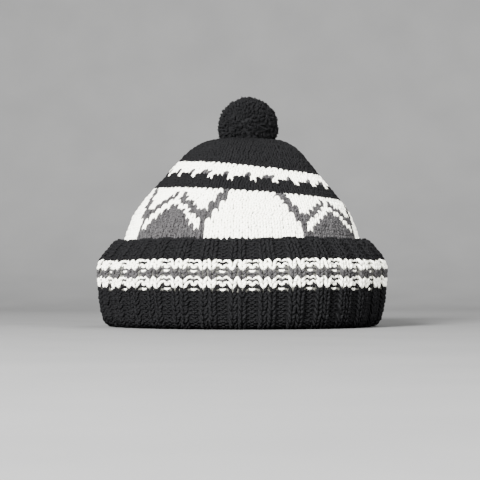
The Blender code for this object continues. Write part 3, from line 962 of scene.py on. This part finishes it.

# Spun wool: its plies, fibres and flecks, and how much each counts in its shade; the plies' share is
# painted shade in the grooves between plies.
PLIES = 3
PLY_PITCH = 5.0
FIBRE_STRETCH = (0.7, 9.0, 1.0)
FIBRE_SCALE = 1.6
FLECK_SCALE = 1500.0
SHADING = {"fibres": 1.4, "flecks": 2.4, "strand": 0.45, "plies": 0.35, "base": 0.35}
FIBRE_RELIEF = 0.6
YARN_BUMP = 0.25 * MM

# Woven tape: threads for each millimetre, its shades and stains, and its threads' relief.
TAPE_THREADS = {"warp": 2.4, "weft": 3.0}
TAPE_FINISH = {"roughness": 0.75, "sheen": 0.1}
TAPE_STAINS = {"scale": 0.35, "detail": 3.0}
TAPE_CONTRAST = 0.15
TAPE_SHADES = ((0.44, 0.40, 0.31), (0.70, 0.67, 0.58))
TAPE_BUMP = 0.08 * MM

# The stage: a floor that bends up into a backdrop, in metres, and its two shades.
FLOOR = {"front": -2.5, "back": 1.4, "half_width": 3.0, "bend": 0.6, "top": 2.6}
FLOOR_BEND_STEPS = 12
FLOOR_FINISH = {"roughness": 0.9, "sheen": 0.0}
FLOOR_MOTTLE = {"scale": 14.0, "detail": 6.0}
FLOOR_SHADES = ((0.090, 0.090, 0.090), (0.112, 0.112, 0.111))

# The lamps, in metres and watts, the height they aim at, and the light of the world.
LAMPS = [
    {"name": "key_light", "place": (-0.8, -1.6, 0.85), "size": 0.7, "power": 330.0},
    {"name": "fill_light", "place": (1.5, -1.2, 0.6), "size": 1.4, "power": 90.0},
    {"name": "back_light", "place": (0.5, 1.0, 1.6), "size": 0.9, "power": 25.0},
]
LAMP_TARGET = (0.0, 0.0, 0.09)
WORLD_STRENGTH = 1.1

# The camera, where the photograph's is but just above the floor.
CAMERA_DISTANCE = 1.2
CAMERA_HEIGHT = 30 * MM
FRAME_PIXELS = 480
METRES_PER_PIXEL = 0.355 / FRAME_PIXELS
HAT_MIDDLE_PIXEL = (242, 212)


def maths(tree, operation, first, second=None):
    """A Math node: each input is a number or another node's output."""
    node = tree.nodes.new("ShaderNodeMath")
    node.operation = operation
    for socket, value in zip(node.inputs, (first, second)):
        if isinstance(value, bpy.types.NodeSocket):
            tree.links.new(value, socket)
        elif value is not None:
            socket.default_value = value
    return node.outputs[0]


def limited(tree, value):
    return maths(tree, "MINIMUM", maths(tree, "MAXIMUM", value, 0.0), 1.0)


def node_output(tree, kind, output, **inputs):
    """The same for other nodes, whose inputs have names."""
    node = tree.nodes.new("ShaderNode" + kind)
    for name, value in inputs.items():
        if isinstance(value, bpy.types.NodeSocket):
            tree.links.new(value, node.inputs[name])
        else:
            node.inputs[name].default_value = value
    return node.outputs[output]


def noise(tree, vector, scale, detail=2.0):
    return node_output(tree, "TexNoise", "Fac", Vector=vector, Scale=scale, Detail=detail)


def mixed(tree, factor, dark, light):
    node = tree.nodes.new("ShaderNodeMix")
    node.data_type = "RGBA"
    tree.links.new(factor, node.inputs["Factor"])
    node.inputs["A"].default_value = (*dark, 1.0)
    node.inputs["B"].default_value = (*light, 1.0)
    return node.outputs["Result"]


def bump(tree, height, distance):
    return node_output(tree, "Bump", "Normal", Height=height, Strength=1.0, Distance=distance)


def yarn_coordinates(tree):
    """The place along and about a strand, or across and up the tape."""
    source = tree.nodes.new("ShaderNodeUVMap")
    source.uv_map = "yarn"
    split = tree.nodes.new("ShaderNodeSeparateXYZ")
    tree.links.new(source.outputs["UV"], split.inputs["Vector"])
    return source.outputs["UV"], split.outputs["X"], split.outputs["Y"]


def new_material(name, roughness, sheen):
    made = bpy.data.materials.new(name)
    made.use_nodes = True
    shader = made.node_tree.nodes["Principled BSDF"]
    shader.inputs["Roughness"].default_value = roughness
    shader.inputs["Specular IOR Level"].default_value = SPECULAR
    shader.inputs["Sheen Weight"].default_value = sheen
    shader.inputs["Sheen Roughness"].default_value = SHEEN_ROUGHNESS
    return made, made.node_tree, shader


def yarn_material(name, look):
    """Spun wool: plies twisted round each other, loose fibres, shades that differ, and painted shade in the
    grooves between plies.
    """
    made, tree, shader = new_material(name, WOOL_ROUGHNESS, look["sheen"])
    uv, along, about = yarn_coordinates(tree)
    tone = tree.nodes.new("ShaderNodeAttribute")
    tone.attribute_name = "tone"
    strand = node_output(tree, "SeparateColor", "Red", Color=tone.outputs["Color"])
    twist = maths(tree, "MULTIPLY", along, math.pi * PLIES / PLY_PITCH)
    around = maths(tree, "MULTIPLY", about, math.pi * PLIES)
    ply = maths(tree, "ABSOLUTE", maths(tree, "SINE", maths(tree, "ADD", twist, around)))
    stretched = node_output(tree, "Mapping", "Vector", Vector=uv, Scale=FIBRE_STRETCH)
    fibres = noise(tree, stretched, FIBRE_SCALE)
    flecks = noise(tree, node_output(tree, "TexCoord", "Object"), FLECK_SCALE)
    # The colour follows the plies, darker in the grooves between them: painted shade.
    factor = maths(tree, "MULTIPLY", ply, SHADING["plies"])
    for key, cause in {"fibres": fibres, "flecks": flecks, "strand": strand}.items():
        from_middle = maths(tree, "SUBTRACT", cause, 0.5)
        share = maths(tree, "MULTIPLY", from_middle, SHADING[key] * look["heather"])
        factor = maths(tree, "ADD", factor, share)
    factor = limited(tree, maths(tree, "ADD", factor, SHADING["base"]))
    tree.links.new(mixed(tree, factor, look["dark"], look["light"]), shader.inputs["Base Color"])
    relief = maths(tree, "ADD", ply, maths(tree, "MULTIPLY", fibres, FIBRE_RELIEF))
    tree.links.new(bump(tree, relief, YARN_BUMP), shader.inputs["Normal"])
    return made


def shaded(look, share):
    """The same wool deep between its stitches, with its shades times a share: painted shade or painted
    light in the gaps.
    """
    shades = {key: tuple(share * c for c in look[key]) for key in ("dark", "light")}
    return {**look, **shades, "sheen": 0.0}


def tape_material():
    """A plain woven tape: crossing threads, slightly yellowed."""
    made, tree, shader = new_material("woven_tape", **TAPE_FINISH)
    uv, across, up = yarn_coordinates(tree)
    warp = maths(tree, "SINE", maths(tree, "MULTIPLY", across, TAU * TAPE_THREADS["warp"]))
    weft = maths(tree, "SINE", maths(tree, "MULTIPLY", up, TAU * TAPE_THREADS["weft"]))
    weave = maths(tree, "MULTIPLY", warp, weft)
    stains = noise(tree, uv, **TAPE_STAINS)
    factor = limited(tree, maths(tree, "ADD", maths(tree, "MULTIPLY", weave, TAPE_CONTRAST), stains))
    tree.links.new(mixed(tree, factor, *TAPE_SHADES), shader.inputs["Base Color"])
    tree.links.new(bump(tree, weave, TAPE_BUMP), shader.inputs["Normal"])
    return made


def backdrop_material():
    """A plain pale wall and floor, faintly mottled."""
    made, tree, shader = new_material("pale_backdrop", **FLOOR_FINISH)
    mottle = noise(tree, node_output(tree, "TexCoord", "Object"), **FLOOR_MOTTLE)
    tree.links.new(mixed(tree, mottle, *FLOOR_SHADES), shader.inputs["Base Color"])
    return made


def make_stage():
    """A floor that curves up into a backdrop."""
    bend, half_width = FLOOR["bend"], FLOOR["half_width"]
    flat_end = FLOOR["back"] - bend
    profile = [(FLOOR["front"], 0.0), (flat_end, 0.0)]
    turns = math.pi / 2 * (np.arange(FLOOR_BEND_STEPS) + 1) / FLOOR_BEND_STEPS
    profile += [(flat_end + bend * math.sin(a), bend - bend * math.cos(a)) for a in turns]
    profile.append((FLOOR["back"], FLOOR["top"]))
    verts = np.array([(x, y, z) for x in (-half_width, half_width) for y, z in profile])
    count = len(profile)
    quads = grid_quads(2, count, 1, count - 1)[:, TURNED_OVER]
    uvs = verts[quads][..., :2]
    made = mesh_object("floor", verts, [quads], [uvs], [backdrop_material()])


def turned_to(place, target):
    """The rotation of a lamp or a camera that looks from one place to another."""
    return (Vector(target) - Vector(place)).to_track_quat("-Z", "Y").to_euler()


def make_lights():
    for row in LAMPS:
        lamp = bpy.data.lights.new(row["name"], "AREA")
        lamp.shape = "DISK"
        lamp.size = row["size"]
        lamp.energy = row["power"]
        made = new_object(row["name"], lamp)
        made.location = row["place"]
        made.rotation_euler = turned_to(row["place"], LAMP_TARGET)
    world = bpy.data.worlds.new("studio")
    world.use_nodes = True
    background = world.node_tree.nodes["Background"]
    background.inputs["Color"].default_value = (1.0,) * 4
    background.inputs["Strength"].default_value = WORLD_STRENGTH
    bpy.context.scene.world = world


def make_camera():
    """In front of the hat and low, aimed so that the hat lies as in the photograph."""
    camera = bpy.data.cameras.new("camera")
    camera.lens = camera.sensor_width * CAMERA_DISTANCE / (METRES_PER_PIXEL * FRAME_PIXELS)
    made = new_object("camera", camera)
    lo, hi = CAD_BOX
    left, down = ((FRAME_PIXELS / 2 - pixel) * METRES_PER_PIXEL for pixel in HAT_MIDDLE_PIXEL)
    made.location = (0.0, -CAMERA_DISTANCE, CAMERA_HEIGHT)
    made.rotation_euler = turned_to(made.location, (left, 0.0, (lo.z + hi.z) / 2 - down))
    bpy.context.scene.camera = made


def dress():
    """Every piece of the hat, on its body and in place of its solid."""
    fabric = Fabric()
    yarns = {name: yarn_material(f"{name}_yarn", look) for name, look in YARNS.items()}
    pile = yarn_material("cut_pile", PILE)
    shade_and_light_backing = {
        name: yarn_material(f"{name}_backing", shaded(look, PAINTED_BACKING_SHARE[name]))
        for name, look in YARNS.items()
    }
    wool = make_crown(fabric, yarns) + make_rib(fabric, yarns)
    wool += [make_inner_crown(fabric, yarns), make_core(fabric, shade_and_light_backing)]
    label = make_label(fabric, tape_material(), yarns["white"])
    rows = [
        ("knit_body", "knitted_wool", wool),
        ("pompom", "cut_pile", [make_pompom(pile), make_pompom_core(pile)]),
        ("pompom_tie", "tie_yarn", [make_tie(yarns["black"])]),
        ("label", "woven_tape", label),
    ]
    for node, slot, pieces in rows:
        for piece in pieces:
            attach(piece, "root")
            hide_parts(node)


dress()
make_stage()
make_lights()
make_camera()
